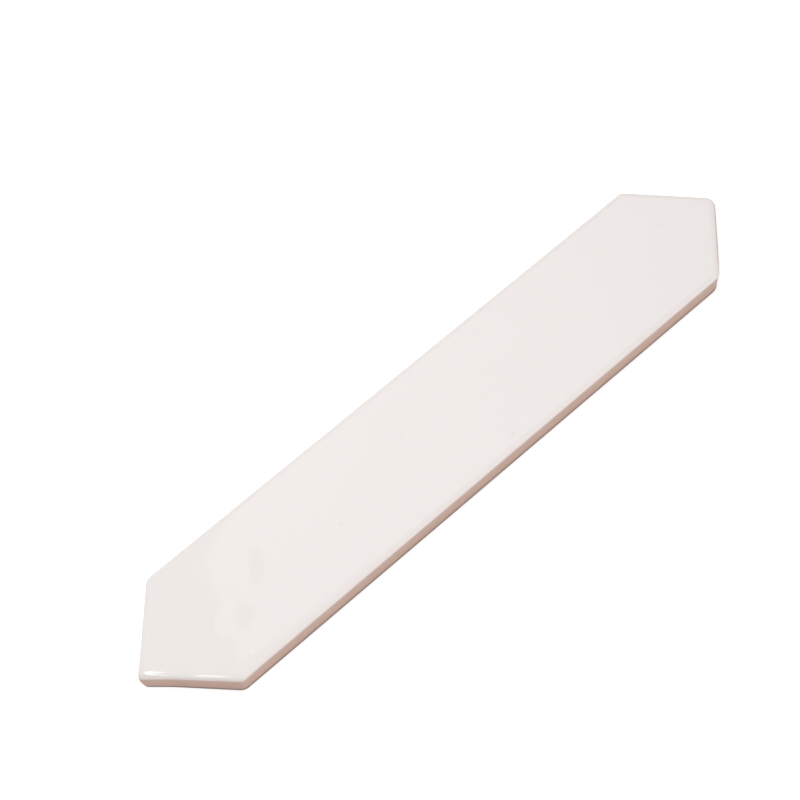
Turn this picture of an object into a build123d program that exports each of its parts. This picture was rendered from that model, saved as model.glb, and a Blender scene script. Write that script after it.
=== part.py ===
from build123d import *
import math
import os

# A long glazed wall tile with two pointed ends, lying on its back.
# X runs along the tile from tip to tip, Y across it and Z up through the glazed face.
# The origin is the middle of the back, on the plane that the tile lies on. Millimetres.

# Outline of the pressed tile, at its widest level
LENGTH = 250.0             # over both rounded tips
WIDTH = 46.0               # over the two long sides
POINT_DEPTH = 22.0         # along the tile, from a shoulder to the tip before it is rounded
CORNER_RADIUS = 3.0        # in plan, at the tips and the shoulders

# Section through an edge
THICKNESS = 9.5            # from the back to the flat of the glazed face
GLAZE_DROP = 2.0           # how far the glaze runs down the side, below the flat of the face
SIDE_DRAFT = 2.0           # degrees, so that the pressed body leaves its die
BACK_ARRIS = 0.4           # the worn edge between the side and the back
EDGE_ROUND = 1.5           # radius of the glazed edge
CUSHION_WIDTH = 4.0        # how far in from the side the face starts to fall
CUSHION_DROP = 0.2         # how far it has fallen at the side

# Keyed back, a grid of shallow pockets that the adhesive grips
RIM_WIDTH = 4.0            # the plain rim round the grid
KEY_PITCH = 9.5            # wanted spacing of the pockets, before they are made to fill the width
KEY_RIB = 1.6              # width of the ribs between the pockets, on the plane of the back
KEY_DEPTH = 0.8            # depth of the pockets
KEY_DRAFT = 15.0           # degrees, the slope of the pocket walls
KEY_LEAST_SHARE = 0.25     # a pocket that the slanted rim cuts smaller than this is left solid

SAME_LEVEL = 0.001         # heights closer than this are one level


def sharp_outline(inset=0.0):
    """The six-sided outline with each side moved in by inset, before its corners are rounded."""
    half_tip_angle = math.atan2(WIDTH / 2, POINT_DEPTH)
    tip_rounding = CORNER_RADIUS * (1 / math.sin(half_tip_angle) - 1)
    tip = LENGTH / 2 + tip_rounding
    shoulder = tip - POINT_DEPTH
    corners = [(tip, 0), (shoulder, WIDTH / 2), (-shoulder, WIDTH / 2)]
    outer = Polygon(*corners, *[(-x, -y) for x, y in corners], align=None)
    return offset(outer, amount=-inset, kind=Kind.INTERSECTION) if inset else outer


def outline(height, inset=0.0):
    """The outline at a height, moved in by inset, with its tips and shoulders rounded."""
    return Pos(0, 0, height) * fillet(sharp_outline(inset).vertices(), CORNER_RADIUS)


def edges_at(solid, height):
    """The edges of a solid that lie flat at a height."""
    return solid.edges().filter_by_position(Axis.Z, height - SAME_LEVEL, height + SAME_LEVEL)


def pressed_body():
    """The unglazed side, drawn in towards the back, with its worn lower edge."""
    glaze_line = THICKNESS - GLAZE_DROP
    body = extrude(outline(glaze_line), amount=glaze_line, dir=(0, 0, -1), taper=SIDE_DRAFT)
    return chamfer(edges_at(body, 0), BACK_ARRIS)


def glazed_crown():
    """The glazed top: an upright band, a rounded edge and a face that falls a little at its edge."""
    edge_height = THICKNESS - CUSHION_DROP
    glaze_line = THICKNESS - GLAZE_DROP
    band = extrude(outline(glaze_line), amount=edge_height - glaze_line)
    cushion = loft([outline(edge_height), outline(THICKNESS, CUSHION_WIDTH)], ruled=True)
    crown = band + cushion
    return fillet(edges_at(crown, edge_height), EDGE_ROUND)


def back_keys():
    """The pockets of the back: a grid of equal pockets that fills the width, clipped by the rim.

    The columns run on at the same spacing into the points.
    """
    recess = extrude(sharp_outline(RIM_WIDTH), amount=KEY_DEPTH, taper=KEY_DRAFT)
    field_width = WIDTH - 2 * RIM_WIDTH + KEY_RIB
    rows = max(1, round(field_width / KEY_PITCH))
    pitch = field_width / rows
    columns = math.ceil(LENGTH / pitch)
    whole = extrude(Rectangle(pitch - KEY_RIB, pitch - KEY_RIB), amount=KEY_DEPTH, taper=KEY_DRAFT)
    clipped = [recess & place * whole for place in GridLocations(pitch, pitch, columns, rows)]
    return [pocket for pocket in clipped if pocket and pocket.volume > KEY_LEAST_SHARE * whole.volume]


tile = pressed_body() + glazed_crown() - back_keys()

os.makedirs("parts", exist_ok=True)
export_step(tile, "parts/tile.step")
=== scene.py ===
import math

import bmesh
import bpy
from mathutils import Matrix, Quaternion, Vector, geometry, noise


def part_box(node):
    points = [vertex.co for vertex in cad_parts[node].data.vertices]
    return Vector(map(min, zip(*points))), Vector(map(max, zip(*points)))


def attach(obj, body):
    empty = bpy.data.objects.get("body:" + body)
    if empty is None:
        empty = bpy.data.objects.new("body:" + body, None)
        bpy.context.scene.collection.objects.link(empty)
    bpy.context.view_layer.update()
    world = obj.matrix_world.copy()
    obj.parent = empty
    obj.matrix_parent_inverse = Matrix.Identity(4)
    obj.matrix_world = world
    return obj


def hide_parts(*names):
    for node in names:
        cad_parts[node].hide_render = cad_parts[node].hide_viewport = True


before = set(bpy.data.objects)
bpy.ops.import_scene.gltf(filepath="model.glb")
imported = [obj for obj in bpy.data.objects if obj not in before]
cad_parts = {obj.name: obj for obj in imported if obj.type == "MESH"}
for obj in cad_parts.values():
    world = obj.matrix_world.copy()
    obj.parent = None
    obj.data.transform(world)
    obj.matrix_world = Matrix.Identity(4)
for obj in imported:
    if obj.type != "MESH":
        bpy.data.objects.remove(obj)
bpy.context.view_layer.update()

# A pressed wall tile with two pointed ends, glazed white over its face and rounded edge.
# Lengths are in millimetres, and MM turns them to metres where a mesh or a material needs them.
MM = 0.001

# The tile's box, from the frame
tile_low, tile_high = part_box("tile")
LENGTH = (tile_high.x - tile_low.x) / MM
WIDTH = (tile_high.y - tile_low.y) / MM
THICKNESS = tile_high.z / MM

# Outline, as pressed and then as fired
POINT_DEPTH = 22.0          # along the tile, from a shoulder to a sharp tip
TIP_EXTRA = 0.78            # how far past the ends of the tile's box the sharp tips would reach
KILN_SHRINK = 0.997         # the tile came out of the kiln a little under its size
OFF_CENTRE = Vector((0.95, 0))                  # leaves room for the full left tip
TIP_OUT_OF_SQUARE = Vector((-0.59, -0.61))      # the right tip was pressed a little crooked

# Plan radius of each corner, anticlockwise from the right tip, at the face, the waist and the foot
FACE_RADII = [3.3, 2.5, 3.0, 1.6, 3.0, 3.0]
WAIST_RADII = [3.8, 3.0, 3.4, 0.9, 3.4, 4.0]
FOOT_RADII = [4.4, 4.0, 4.0, 2.6, 4.0, 5.4]
WAIST_HEIGHT = 6.0
INNER_RADIUS = 1.0          # the least radius of a corner of the rings inside the outline

# Left tip, fuller than the rest
TIP_BELLY = 0.78            # how much fuller it is at its widest
TIP_BELLY_HEIGHT = 2.8      # at this height
TIP_BELLY_REACH = 5.7       # and fading over this height above and below
TIP_BELLY_LENGTH = 7.0      # and over this length along the tile
TIP_BELLY_AT_FOOT = 0.4     # the share of it that is left on the plane of the back

# Section through an edge, from the glazed face down to the back
CUSHION_WIDTH = 8.0         # the face falls softly over this width
CUSHION_DROP = 0.28
ROUND_IN = 1.9              # the rounded edge, inwards and downwards
ROUND_DOWN = 1.3
GLAZE_LINE = 7.4            # where the glaze ends on the side
GLAZE_LIP = 0.05            # how far it stands proud of the clay there
LIP_HEIGHT = 0.25
SIDE_DRAFT = math.radians(2.0)
BACK_ARRIS = 0.4
RIM_RING = 1.4              # width of the back's rim that is meshed in rings

# Keyed back
RIM_WIDTH = 4.0
KEY_PITCH = 9.5             # wanted spacing of the pockets, before they are made to fill the width
KEY_RIB = 1.6
KEY_DEPTH = 0.8
KEY_DRAFT = math.radians(15.0)
KEY_LEAST_SHARE = 0.25      # a pocket that the rim cuts smaller than this is left solid
KEY_CORNER = 0.7            # corner radius of a pocket
KEY_ARRIS = 0.15            # worn edge of a rib, and the fillet at a pocket's floor
ARRIS_MIDDLE = 0.3          # how far in the middle of that worn edge lies, as a share of its size

# Mesh spacing
SIDE_STEP = 0.8
FACE_STEP = 1.0
FACE_GAP = 0.7              # free strip round the middle of the face, in steps
CORNER_STEPS = 10
POCKET_CORNER_STEPS = 4
CUSHION_RINGS = 7
ROUND_RINGS = 12
SIDE_RINGS = 9
ARRIS_RINGS = 5
SAME_POINT = 1e-6

# Unevenness left by pressing and glazing: height or depth, length, and its own layer of the noise
FACE_WAVE, FACE_WAVE_LENGTH, FACE_WAVE_LAYER = 0.05, 34.0, 7.5
EDGE_WAVE, EDGE_WAVE_LENGTH, EDGE_WAVE_LAYER = 0.05, 17.0, 1.5
CLAY_WAVE, CLAY_WAVE_LENGTH, CLAY_WAVE_LAYER = 0.04, 17.0, 4.5

# Dimples in the glaze: place, half length, half width, the turn of the length in degrees, and depth
GLAZE_DIMPLES = [
    (-78.5, 3.8, 11, 7, 42, 0.24), (-91.5, -6.5, 8, 6, 0, 0.11), (-65.5, -16, 3, 3, 0, 0.08),
    (-64.5, 11, 2.5, 3, 0, 0.07), (40, -6, 9, 12, 0, 0.05),
]


def pressed_corners():
    """The six sharp corners of the outline as pressed, anticlockwise from the right tip."""
    tip = (LENGTH / 2 + TIP_EXTRA) / KILN_SHRINK
    shoulder = tip - POINT_DEPTH
    half = [Vector((tip, 0)), Vector((shoulder, WIDTH / 2)), Vector((-shoulder, WIDTH / 2))]
    return half + [-corner for corner in half]


def fired_corners():
    """The same corners after the kiln."""
    corners = [corner * KILN_SHRINK + OFF_CENTRE for corner in pressed_corners()]
    return [corners[0] + TIP_OUT_OF_SQUARE] + corners[1:]


def pairs(items):
    """Each item of a closed loop with the one after it."""
    return list(zip(items, items[1:] + items[:1]))


def moved_in(corners, distance):
    """A convex outline, anticlockwise, with each side moved in by a distance."""
    sides = []
    for corner, following in pairs(corners):
        along = (following - corner).normalized()
        outward = Vector((along.y, -along.x))
        sides.append((outward, outward.dot(corner) - distance))
    moved = []
    for (n1, c1), (n2, c2) in zip(sides[-1:] + sides[:-1], sides):
        spread = n1.x * n2.y - n1.y * n2.x
        moved.append(Vector(((c1 * n2.y - c2 * n1.y) / spread, (n1.x * c2 - n2.x * c1) / spread)))
    return moved


def inside(corners, point):
    """Whether a point lies inside a convex outline."""
    return all((b - a).cross(point - a) > 0 for a, b in pairs(corners))


def ring(corners, inset, radii, corner_steps, side_steps):
    """Points round an outline moved in by inset, with rounded corners.

    Each point comes with its outward direction.
    """
    arcs = [(moved_in(corners, inset + radius)[k], radius) for k, radius in enumerate(radii)]
    facing = [math.atan2(-(b - a).x, (b - a).y) for a, b in pairs(corners)]
    points = []
    for k, ((centre, radius), (next_centre, next_radius)) in enumerate(pairs(arcs)):
        turn = (facing[k] - facing[k - 1]) % math.tau
        for step in range(corner_steps + 1):
            angle = facing[k - 1] + turn * step / corner_steps
            outward = Vector((math.cos(angle), math.sin(angle)))
            points.append((centre + radius * outward, outward))
        side_start, side_end = centre + radius * outward, next_centre + next_radius * outward
        for step in range(1, side_steps[k]):
            points.append((side_start.lerp(side_end, step / side_steps[k]), outward))
    return points


def corner_radii(height):
    """Plan radius of each corner of the outline at a height."""
    if height > WAIST_HEIGHT:
        share = (height - WAIST_HEIGHT) / (THICKNESS - WAIST_HEIGHT)
        return [waist + (face - waist) * share for waist, face in zip(WAIST_RADII, FACE_RADII)]
    share = (1 - height / WAIST_HEIGHT) ** 2
    return [waist + (foot - waist) * share for waist, foot in zip(WAIST_RADII, FOOT_RADII)]


def fall(inset):
    """How far the cushioned face has fallen at a distance in from the side."""
    return CUSHION_DROP * max(0.0, 1 - inset / CUSHION_WIDTH) ** 2


def edge_section():
    """Inset and height of each ring of the edge, from the face's cushion down to the back's rim."""
    levels = []
    for step in range(CUSHION_RINGS):
        inset = CUSHION_WIDTH + (ROUND_IN - CUSHION_WIDTH) * step / CUSHION_RINGS
        levels.append((inset, THICKNESS - fall(inset)))
    for step in range(ROUND_RINGS + 1):
        angle = math.pi / 2 * step / ROUND_RINGS
        inset = ROUND_IN * (1 - math.sin(angle))
        levels.append((inset, THICKNESS - fall(inset) - ROUND_DOWN * (1 - math.cos(angle))))
    levels += [(0, GLAZE_LINE + LIP_HEIGHT), (GLAZE_LIP / 2, GLAZE_LINE + LIP_HEIGHT / 2)]
    for step in range(SIDE_RINGS + 1):
        height = GLAZE_LINE + (BACK_ARRIS - GLAZE_LINE) * step / SIDE_RINGS
        inset = GLAZE_LIP + (GLAZE_LINE - height) * math.tan(SIDE_DRAFT)
        levels.append((inset, height))
    side_foot = levels[-1][0]
    for step in range(1, ARRIS_RINGS + 1):
        angle = math.pi / 2 * step / ARRIS_RINGS
        inset = side_foot + BACK_ARRIS * (1 - math.cos(angle))
        levels.append((inset, BACK_ARRIS * (1 - math.sin(angle))))
    levels.append((side_foot + BACK_ARRIS + RIM_RING, 0.0))
    return levels


def ripple(point, length, layer):
    """A smooth wave between 0 and 1, of about the given length. Each layer has its own waves."""
    return 0.5 + 0.5 * noise.noise(Vector((point.x / length, point.y / length, layer)))


def uneven(point, outward, height):
    """A point of the edge or the face, moved as an uneven glaze and a worn die leave it."""
    round_end = THICKNESS - CUSHION_DROP - ROUND_DOWN
    lip = min(1.0, max(0.0, (height - GLAZE_LINE) / LIP_HEIGHT))
    crown = min(1.0, max(0.0, (height - round_end) / ROUND_DOWN))
    foot = min(1.0, height / BACK_ARRIS)
    glaze_wander = EDGE_WAVE * ripple(point, EDGE_WAVE_LENGTH, EDGE_WAVE_LAYER)
    clay_wander = CLAY_WAVE * ripple(point, CLAY_WAVE_LENGTH, CLAY_WAVE_LAYER)
    dip = FACE_WAVE * ripple(point, FACE_WAVE_LENGTH, FACE_WAVE_LAYER) * crown
    for x, y, half_length, half_width, turn, depth in GLAZE_DIMPLES:
        away = Matrix.Rotation(-math.radians(turn), 2) @ (point - Vector((x, y)))
        reach = min(1.0, math.hypot(away.x / half_length, away.y / half_width))
        dip += depth * math.cos(math.pi / 2 * reach) ** 2 * crown
    at_tip = min(1.0, max(0.0, 1 - (point.x + LENGTH / 2) / TIP_BELLY_LENGTH))
    at_height = max(0.0, 1 - ((height - TIP_BELLY_HEIGHT) / TIP_BELLY_REACH) ** 2)
    belly = TIP_BELLY * at_tip * at_height * (TIP_BELLY_AT_FOOT + (1 - TIP_BELLY_AT_FOOT) * foot)
    moved = point + outward * (belly - glaze_wander * lip - clay_wander * (1 - lip) * foot)
    return Vector((moved.x, moved.y, height - dip))


def lattice(corners, step):
    """Points of a triangular lattice inside a convex outline."""
    row_gap = step * math.sqrt(3) / 2
    rows = math.ceil(WIDTH / row_gap)
    columns = math.ceil(LENGTH / step)
    points = []
    for row in range(-rows, rows + 1):
        for column in range(-columns, columns + 1):
            point = Vector(((column + row % 2 / 2) * step, row * row_gap))
            if inside(corners, point):
                points.append(point)
    return points


def triangles(points, loops):
    """Triangles between points, kept along each closed loop of indices."""
    edges = [edge for loop in loops for edge in pairs(loop)]
    made = geometry.delaunay_2d_cdt(points, edges, [], 1, SAME_POINT)
    source = [found[0] for found in made[3]]
    return [tuple(source[i] for i in triangle) for triangle in made[2]]


def clipped(corners, fence):
    """The part of a convex outline that lies inside another."""
    for a, b in pairs(fence):
        kept = []
        for p, q in pairs(corners):
            p_side, q_side = (b - a).cross(p - a), (b - a).cross(q - a)
            if p_side >= 0:
                kept.append(p)
            if p_side * q_side < 0:
                kept.append(p.lerp(q, p_side / (p_side - q_side)))
        corners = kept
        if not corners:
            return []
    return corners


def area(corners):
    """Area of an anticlockwise outline."""
    return sum(p.cross(q) for p, q in pairs(corners)) / 2


def back_pockets():
    """Outline of each pocket of the back: a grid that fills the width, clipped by the rim."""
    # the rim as pressed, because the fired one would cut some pockets too short to round
    fence = moved_in(pressed_corners(), RIM_WIDTH)
    field_width = WIDTH - 2 * RIM_WIDTH + KEY_RIB
    rows = round(field_width / KEY_PITCH)
    pitch = field_width / rows
    columns = math.ceil(LENGTH / pitch)
    half = (pitch - KEY_RIB) / 2
    quarters = [(1, -1), (1, 1), (-1, 1), (-1, -1)]
    square = [Vector((x * half, y * half)) for x, y in quarters]
    pockets = []
    for column in range(columns):
        for row in range(rows):
            centre = Vector(((column - (columns - 1) / 2) * pitch, (row - (rows - 1) / 2) * pitch))
            pocket = clipped([centre + corner for corner in square], fence)
            if pocket and area(pocket) > KEY_LEAST_SHARE * area(square):
                pockets.append(pocket)
    return pockets


def pocket_section():
    """Inset, height and corner radius of each ring of a pocket, from the back's plane inwards."""
    slope = math.tan(KEY_DRAFT)
    wall_foot = KEY_DEPTH - KEY_ARRIS
    worn = ARRIS_MIDDLE * KEY_ARRIS
    levels = [
        (-KEY_ARRIS, 0.0),
        (-worn, worn),
        (slope * KEY_ARRIS, KEY_ARRIS),
        (slope * wall_foot, wall_foot),
        (slope * KEY_DEPTH + worn, KEY_DEPTH - worn),
        (slope * KEY_DEPTH + KEY_ARRIS, KEY_DEPTH),
    ]
    return [(inset, height, KEY_CORNER - inset) for inset, height in levels]


class Skin:
    """Vertices and faces of a closed mesh, gathered ring by ring."""

    def __init__(self):
        self.points = []
        self.faces = []

    def add(self, points):
        """Adds points and gives their indices."""
        first = len(self.points)
        self.points += points
        return list(range(first, len(self.points)))

    def join(self, upper, lower):
        """Adds a band of four-sided faces between two rings."""
        for (a, b), (c, d) in zip(pairs(upper), pairs(lower)):
            self.faces.append((a, b, d, c))

    def made(self, name):
        """The mesh object, with its faces turned outwards."""
        mesh = bpy.data.meshes.new(name)
        mesh.from_pydata([point * MM for point in self.points], [], self.faces)
        shaped = bmesh.new()
        shaped.from_mesh(mesh)
        bmesh.ops.recalc_face_normals(shaped, faces=shaped.faces)
        shaped.to_mesh(mesh)
        shaped.free()
        mesh.shade_smooth()
        piece = bpy.data.objects.new(name, mesh)
        bpy.context.scene.collection.objects.link(piece)
        return piece


def edge_rings(skin, outline):
    """The cushion, the rounded glazed edge, the clay side and the back's rim, as rings.

    Gives the first ring, on the face, and the last, on the back.
    """
    side_steps = [max(2, round((b - a).length / SIDE_STEP)) for a, b in pairs(outline)]
    rings = []
    for inset, height in edge_section():
        radii = [max(radius - inset, min(radius, INNER_RADIUS)) for radius in corner_radii(height)]
        around = ring(outline, inset, radii, CORNER_STEPS, side_steps)
        rings.append(skin.add([uneven(point, outward, height) for point, outward in around]))
    for upper, lower in pairs(rings)[:-1]:
        skin.join(upper, lower)
    return rings[0], rings[-1]


def fill_face(skin, outline, top_ring):
    """The gently waved middle of the glazed face."""
    still = Vector((0, 0))
    middle = lattice(moved_in(outline, CUSHION_WIDTH + FACE_GAP * FACE_STEP), FACE_STEP)
    indices = top_ring + skin.add([uneven(point, still, THICKNESS) for point in middle])
    flat = [skin.points[i].to_2d() for i in indices]
    for triangle in triangles(flat, [list(range(len(top_ring)))]):
        skin.faces.append(tuple(indices[i] for i in triangle))


def fill_back(skin, rim_ring):
    """The plane of the back, with its rim and ribs, and the pockets pressed into it."""
    indices, loops = list(rim_ring), [list(range(len(rim_ring)))]
    pocket_of = {}
    for pocket in back_pockets():
        sides = len(pocket)
        rings = []
        for inset, height, radius in pocket_section():
            around = ring(pocket, inset, [radius] * sides, POCKET_CORNER_STEPS, [1] * sides)
            rings.append(skin.add([Vector((point.x, point.y, height)) for point, _ in around]))
        for upper, lower in pairs(rings)[:-1]:
            skin.join(upper, lower)
        skin.faces.append(tuple(rings[-1]))
        first = len(indices)
        indices += rings[0]
        loops.append(list(range(first, len(indices))))
        pocket_of.update((i, first) for i in loops[-1])
    flat = [skin.points[i].to_2d() for i in indices]
    for triangle in triangles(flat, loops):
        owners = {pocket_of.get(i) for i in triangle}
        # a triangle with all its corners on one pocket's edge lies over that pocket
        if owners == {None} or len(owners) > 1:
            skin.faces.append(tuple(indices[i] for i in triangle))


def press_tile():
    """The whole tile as one closed skin."""
    outline = fired_corners()
    skin = Skin()
    top_ring, rim_ring = edge_rings(skin, outline)
    fill_face(skin, outline, top_ring)
    fill_back(skin, rim_ring)
    piece = skin.made("glazed_tile")
    level = piece.modifiers.new("flat_areas_keep_their_shading", "WEIGHTED_NORMAL")
    level.keep_sharp = False
    return piece


def linear(hex_colour):
    """An sRGB hex value as linear red, green, blue and alpha."""
    parts = [int(hex_colour[i:i + 2], 16) / 255 for i in (1, 3, 5)]
    return (*[c / 12.92 if c <= 0.04045 else ((c + 0.055) / 1.055) ** 2.4 for c in parts], 1.0)


def add(tree, kind, inputs=None, out=0, **settings):
    """Adds a shader node with its settings and the values or links of its inputs.

    Gives one of its outputs.
    """
    made = tree.nodes.new("ShaderNode" + kind)
    for name, value in settings.items():
        setattr(made, name, value)
    for name, value in (inputs or {}).items():
        if isinstance(value, bpy.types.NodeSocket):
            tree.links.new(value, made.inputs[name])
        else:
            made.inputs[name].default_value = value
    return made.outputs[out] if made.outputs else None


# Inputs and output of a colour Mix node, which repeats its names
FACTOR, COLOUR_A, COLOUR_B, COLOUR_OUT = 0, 6, 7, 2

# Glaze: its edge on the side
GLAZE_LINE_WANDER = 0.16    # how far the edge wanders up and down
GLAZE_LINE_PATCH = 9.0      # over what length
GLAZE_FADE = 0.25
GLAZE_RUN = 1.3             # how much lower it ran at the left tip
GLAZE_RUN_START = -95.0     # and from where along the tile
GLAZE_RISE = 1.3            # how much higher it stopped at the right tip
GLAZE_RISE_START = 102.5
GLAZE_RISE_END = 109.0

# Glaze: its colour, and where it runs thin over the rounded edge
GLAZE_SHALLOW = "#EEE8E5"
GLAZE_DEEP = "#F0EAE7"
GLAZE_POOLS = 40.0          # size of the patches where it lies deeper
GLAZE_THIN = "#ECDDD8"
GLAZE_THINS_FROM = 1.75     # height above the line
GLAZE_THINS_TO = 0.6
GLAZE_THINNING = 0.7        # below 1, it thins most at the start
GLAZE_ROUGHNESS = 0.035
GLAZE_IOR = 1.52

# Small marks that the firing left in the glaze: place, radius and colour
GLAZE_MARKS = [
    (13.9, -18.9, 1.1, "#E7E0DD"), (-46.9, -4.8, 1.0, "#E9E2DF"), (75.6, -5.0, 0.7, "#ECE5E2"),
    (-16.3, 2.8, 0.9, "#ECE5E2"), (-14.6, 3.4, 0.8, "#EAE3E0"), (-12.8, 4.2, 0.9, "#EBE4E1"),
    (-96.2, -13.1, 0.6, "#F6EFEC"), (-94.8, -18.4, 0.8, "#F9F3F0"), (104.6, 4.0, 0.8, "#E9E3E0"),
]

# Fired clay: two tones of its mottle low on the side and two close under the glaze
LOWER_CLAY = ("#C3A393", "#D0B0A1")
UPPER_CLAY = ("#C4A99E", "#CFB6AB")
CLAY_GREYS_FROM = 2.0       # height at which the lower tones start to give way to the upper
CLAY_MOTTLE = 5.0
CLAY_ROUGHNESS = 0.85
CLAY_GRAIN = 0.45           # the real grain is finer, and is drawn coarser so that it shows
CLAY_GRAIN_DEPTH = 0.05
GROG_SPACING = 1.5          # and so are the specks of grog
GROG_SPECK, GROG_SPECK_FADE = 0.1, 0.25         # radii of a speck, as shares of the spacing
GROG_SHADE = 0.88
# Painted shade at the foot: below the first height the clay's colour darkens, down to the second
# share at the floor, as shadow close to the floor
PAINTED_FOOT_SHADE_HEIGHT = 2.2           # the clay is painted darker below this height
PAINTED_FOOT_SHADE = 0.8


def glazed_clay():
    """White tin-type glaze fired over a pinkish earthenware body.

    The glaze is a clear gloss over an opaque white, so the eye sees soft reflections on an even
    colour. It runs thin and pinkish over the rounded edge, and stops in a line on the side. The
    bare clay is matt and mottled, greyer close under the glaze and tanner below, and its colour
    is painted darker towards its foot, as shade where it stands close to the floor.
    """
    material = bpy.data.materials.new("glazed_clay")
    material.use_nodes = True
    tree = material.node_tree
    tree.nodes.clear()
    # the place on the tile, in millimetres
    place = add(tree, "TexCoord", out="Object")
    place = add(tree, "VectorMath", {0: place, "Scale": 1 / MM}, operation="SCALE")
    along, height = (add(tree, "SeparateXYZ", {"Vector": place}, axis) for axis in "XZ")

    # the glaze's lower edge: it wanders, and is lower at the left tip and higher at the right one
    wander = add(tree, "TexNoise", {"Vector": place, "Scale": 1 / GLAZE_LINE_PATCH, "Detail": 3.0})
    line = add(tree, "MapRange", {"Value": wander, "To Min": GLAZE_LINE - GLAZE_LINE_WANDER,
                                  "To Max": GLAZE_LINE + GLAZE_LINE_WANDER})
    run = add(tree, "MapRange", {"Value": along, "From Min": GLAZE_RUN_START,
                                 "From Max": -LENGTH / 2, "To Max": GLAZE_RUN})
    line = add(tree, "Math", {0: line, 1: run}, operation="SUBTRACT")
    rise = add(tree, "MapRange", {"Value": along, "From Min": GLAZE_RISE_START,
                                  "From Max": GLAZE_RISE_END, "To Max": GLAZE_RISE},
               interpolation_type="SMOOTHSTEP")
    line = add(tree, "Math", {0: line, 1: rise})
    above = add(tree, "Math", {0: height, 1: line}, operation="SUBTRACT")
    cover = add(tree, "MapRange", {"Value": above, "From Min": -GLAZE_FADE, "From Max": GLAZE_FADE},
                interpolation_type="SMOOTHSTEP")

    # how thin the glaze is, by the height as if it had not run
    unrun = add(tree, "Math", {0: height, 1: run})
    thin = add(tree, "MapRange", {"Value": unrun, "From Min": GLAZE_LINE + GLAZE_THINS_TO,
                                  "From Max": GLAZE_LINE + GLAZE_THINS_FROM,
                                  "To Min": 1.0, "To Max": 0.0})
    thin = add(tree, "Math", {0: thin, 1: GLAZE_THINNING}, operation="POWER")

    # the glaze: almost even, a little deeper here and there
    pools = add(tree, "TexNoise", {"Vector": place, "Scale": 1 / GLAZE_POOLS, "Detail": 2.0})
    glaze = add(tree, "Mix", {FACTOR: pools, COLOUR_A: linear(GLAZE_SHALLOW),
                              COLOUR_B: linear(GLAZE_DEEP)}, COLOUR_OUT, data_type="RGBA")
    glaze = add(tree, "Mix", {FACTOR: thin, COLOUR_A: glaze, COLOUR_B: linear(GLAZE_THIN)},
                COLOUR_OUT, data_type="RGBA")
    flat_place = add(tree, "VectorMath", {0: place, 1: (1, 1, 0)}, operation="MULTIPLY")
    for x, y, radius, tone in GLAZE_MARKS:
        reach = add(tree, "VectorMath", {0: flat_place, 1: (x, y, 0)}, "Value",
                    operation="DISTANCE")
        mark = add(tree, "MapRange", {"Value": reach, "From Max": radius,
                                      "To Min": 1.0, "To Max": 0.0},
                   interpolation_type="SMOOTHSTEP")
        glaze = add(tree, "Mix", {FACTOR: mark, COLOUR_A: glaze, COLOUR_B: linear(tone)},
                    COLOUR_OUT, data_type="RGBA")

    # the clay: mottled in patches, with specks of grog and painted shade that darkens its foot,
    # less so at the left tip
    mottle = add(tree, "TexNoise", {"Vector": place, "Scale": 1 / CLAY_MOTTLE, "Detail": 4.0})
    lower, upper = (
        add(tree, "Mix", {FACTOR: mottle, COLOUR_A: linear(dark), COLOUR_B: linear(pale)},
            COLOUR_OUT, data_type="RGBA")
        for dark, pale in (LOWER_CLAY, UPPER_CLAY)
    )
    up_the_side = add(tree, "MapRange", {"Value": height, "From Min": CLAY_GREYS_FROM,
                                         "From Max": GLAZE_LINE})
    clay = add(tree, "Mix", {FACTOR: up_the_side, COLOUR_A: lower, COLOUR_B: upper},
               COLOUR_OUT, data_type="RGBA")
    grog = add(tree, "TexVoronoi", {"Vector": place, "Scale": 1 / GROG_SPACING}, "Distance")
    grog = add(tree, "MapRange", {"Value": grog, "From Min": GROG_SPECK,
                                  "From Max": GROG_SPECK_FADE, "To Min": GROG_SHADE, "To Max": 1.0})
    # painted shade: the clay is darker towards its foot, where the side stands in shadow close to
    # the floor
    foot = add(tree, "MapRange", {"Value": unrun, "From Max": PAINTED_FOOT_SHADE_HEIGHT,
                                  "To Min": PAINTED_FOOT_SHADE, "To Max": 1.0})
    grog_and_painted_shade = add(tree, "Math", {0: grog, 1: foot}, operation="MULTIPLY")
    clay = add(tree, "Mix", {FACTOR: 1.0, COLOUR_A: clay, COLOUR_B: grog_and_painted_shade}, COLOUR_OUT,
               data_type="RGBA", blend_type="MULTIPLY")

    # the surface: clear gloss where the glaze is, a fine matt grain where it is not
    colour = add(tree, "Mix", {FACTOR: cover, COLOUR_A: clay, COLOUR_B: glaze}, COLOUR_OUT,
                 data_type="RGBA")
    roughness = add(tree, "MapRange", {"Value": cover, "To Min": CLAY_ROUGHNESS,
                                       "To Max": GLAZE_ROUGHNESS})
    grain = add(tree, "TexNoise", {"Vector": place, "Scale": 1 / CLAY_GRAIN, "Detail": 3.0})
    bare = add(tree, "Math", {0: 1.0, 1: cover}, operation="SUBTRACT")
    bump = add(tree, "Bump", {"Height": grain, "Strength": bare, "Distance": CLAY_GRAIN_DEPTH * MM})
    surface = add(tree, "BsdfPrincipled", {"Base Color": colour, "Roughness": roughness,
                                           "IOR": GLAZE_IOR, "Normal": bump})
    add(tree, "OutputMaterial", {"Surface": surface})
    return material


tile = press_tile()
tile.data.materials.append(glazed_clay())
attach(tile, "root")
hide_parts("tile")


# The photograph's viewpoint
AIM = Vector((-3.82, 14.99, 9.5))
CAMERA_DISTANCE = 684.0
CAMERA_AZIMUTH = math.radians(-39.02)
CAMERA_ELEVATION = math.radians(60.79)
CAMERA_ROLL = math.radians(-4.08)
LENS = 95.96


def outward_from(azimuth, elevation):
    """Direction from the tile towards an azimuth, from the front, and an elevation."""
    level = math.cos(elevation)
    return Vector((math.sin(azimuth) * level, -math.cos(azimuth) * level, math.sin(elevation)))


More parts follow.
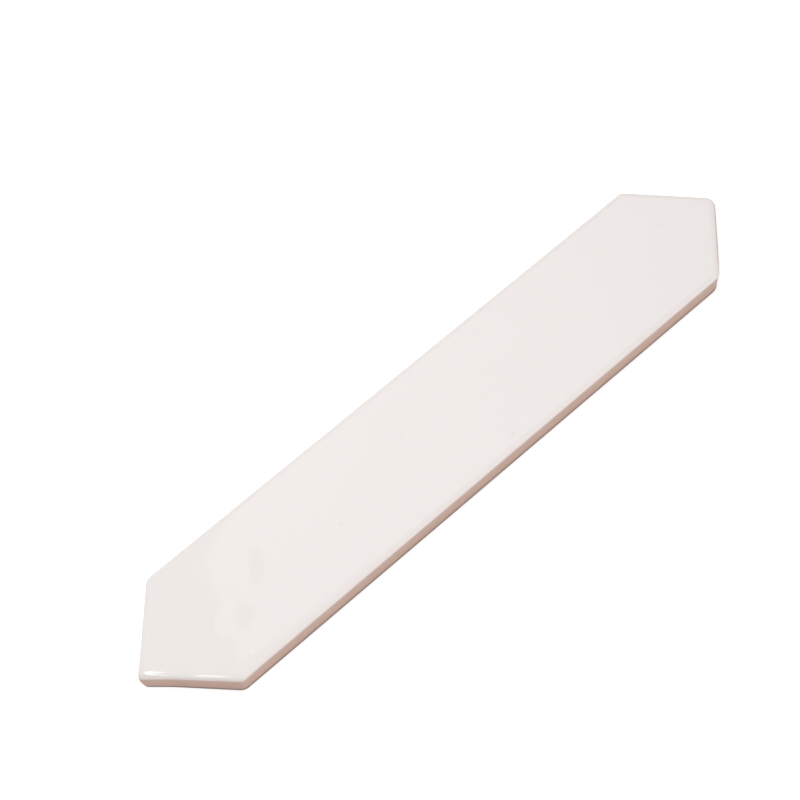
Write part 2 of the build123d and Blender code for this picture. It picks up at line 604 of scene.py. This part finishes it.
def place_camera():
    """The camera at the photograph's angle, with its slight roll."""
    camera = bpy.data.objects.new("camera", bpy.data.cameras.new("camera"))
    bpy.context.scene.collection.objects.link(camera)
    camera.data.lens = LENS
    back = outward_from(CAMERA_AZIMUTH, CAMERA_ELEVATION)
    turn = (-back).to_track_quat("-Z", "Y") @ Quaternion((0, 0, 1), CAMERA_ROLL)
    camera.matrix_world = Matrix.LocRotScale((AIM + back * CAMERA_DISTANCE) * MM, turn, None)
    bpy.context.scene.camera = camera


# The floor's white paper
PAPER_REACH = 3000.0        # from the tile to its edges
PAPER_TONE = 0.9            # how pale it is
PAPER_GLOW = 1.6            # how bright it glows to the camera, so that it comes out white
PAPER_GLOW_SHARE = 0.45     # and how far the glow takes the place of its lit tone
CONTACT_SHADOW_WIDTH = 0.4         # width of the painted contact shadow where the tile meets it
CONTACT_SHADOW_DEPTH = 3.0         # the higher, the darker that painted shadow


def lay_floor():
    """A plain floor that the camera sees as white paper, with the tile's soft shadow on it and a
    painted contact shadow close round its foot.
    """
    half = PAPER_REACH * MM
    corners = [(-half, -half, 0), (half, -half, 0), (half, half, 0), (-half, half, 0)]
    mesh = bpy.data.meshes.new("floor")
    mesh.from_pydata(corners, [], [(0, 1, 2, 3)])
    floor = bpy.data.objects.new("floor", mesh)
    bpy.context.scene.collection.objects.link(floor)
    material = bpy.data.materials.new("white_paper")
    material.use_nodes = True
    tree = material.node_tree
    tree.nodes.clear()
    # painted contact shadow: the paper is darker only where the tile stands close over it
    seen = add(tree, "LightPath", out="Is Camera Ray")
    open_floor = add(tree, "AmbientOcclusion", {"Distance": CONTACT_SHADOW_WIDTH * MM}, "AO")
    open_floor = add(tree, "Math", {0: open_floor, 1: CONTACT_SHADOW_DEPTH}, operation="POWER")
    tone = add(tree, "MapRange", {"Value": open_floor, "To Max": PAPER_TONE})
    paper = add(tree, "BsdfDiffuse", {"Color": tone})
    bright = add(tree, "Emission", {"Strength": PAPER_GLOW})
    share = add(tree, "Math", {0: seen, 1: open_floor}, operation="MULTIPLY")
    share = add(tree, "Math", {0: share, 1: PAPER_GLOW_SHARE}, operation="MULTIPLY")
    both = add(tree, "MixShader", {0: share, 1: paper, 2: bright})
    add(tree, "OutputMaterial", {"Surface": both})
    mesh.materials.append(material)


def hang_lamp(name, start, end, depth, aim, radiance):
    """A rectangular lamp along the line from start to end, turned about it to face the point aim.

    Its radiance is how bright its reflection is in a mirror, where white paper is 1.
    """
    start, end, aim = Vector(start), Vector(end), Vector(aim)
    along = (end - start).normalized()
    centre = (start + end) / 2
    away = (centre - aim) - (centre - aim).dot(along) * along
    away.normalize()
    lamp = bpy.data.lights.new(name, "AREA")
    lamp.shape = "RECTANGLE"
    lamp.size, lamp.size_y = (end - start).length * MM, depth * MM
    lamp.energy = radiance * math.pi * lamp.size * lamp.size_y
    box = bpy.data.objects.new(name, lamp)
    bpy.context.scene.collection.objects.link(box)
    turn = Matrix((along, away.cross(along), away)).transposed()
    box.matrix_world = Matrix.LocRotScale(centre * MM, turn.to_quaternion(), None)
    return box


ROOM_LIGHT = 0.5            # the white room's strength as a light; the camera and the gloss see 1


def light_studio():
    """A white room and soft boxes overhead, at a level where white comes out white."""
    bpy.context.scene.view_settings.view_transform = "Standard"
    world = bpy.data.worlds.new("studio")
    bpy.context.scene.world = world
    world.use_nodes = True
    tree = world.node_tree
    tree.nodes.clear()
    by_camera = add(tree, "LightPath", out="Is Camera Ray")
    by_gloss = add(tree, "LightPath", out="Is Glossy Ray")
    seen = add(tree, "Math", {0: by_camera, 1: by_gloss}, operation="MAXIMUM")
    strength = add(tree, "MapRange", {"Value": seen, "To Min": ROOM_LIGHT, "To Max": 1.0})
    room = add(tree, "Background", {"Color": (1, 1, 1, 1), "Strength": strength})
    add(tree, "OutputWorld", {"Surface": room})

    # three boxes that light the tile and don't show in its gloss
    for box in (
        hang_lamp("soft_box", (-240, 80, 480), (160, 80, 480), 200, (-40, 80, 0), 3.06),
        hang_lamp("back_box", (-800, 600, 380), (250, 900, 380), 320, (-60, 0, 0), 1.25),
        hang_lamp("left_box", (-590, -130, 500), (-410, -310, 500), 250, (-60, 0, 0), 1.9),
    ):
        box.visible_glossy = False
    hang_lamp("ceiling_panel", (87, 384, 700), (557, 213, 700), 400, (322, 298, 0), 0.65)
    # two narrow lamps that only the gloss shows, as streaks on the edge of the left tip
    for strip in (
        hang_lamp("left_strip", (-303, -14, 723), (-699, -393, 253), 16, (-122, -3, 9), 7.5),
        hang_lamp("second_strip", (-393, -153, 645), (-591, -341, 390), 17, (-110, -16, 9), 4.2),
    ):
        strip.visible_diffuse = False
    hang_lamp("fill_box", (-250, -1090, 200), (560, -800, 200), 420, (0, 0, 0), 2.1)


place_camera()
lay_floor()
light_studio()
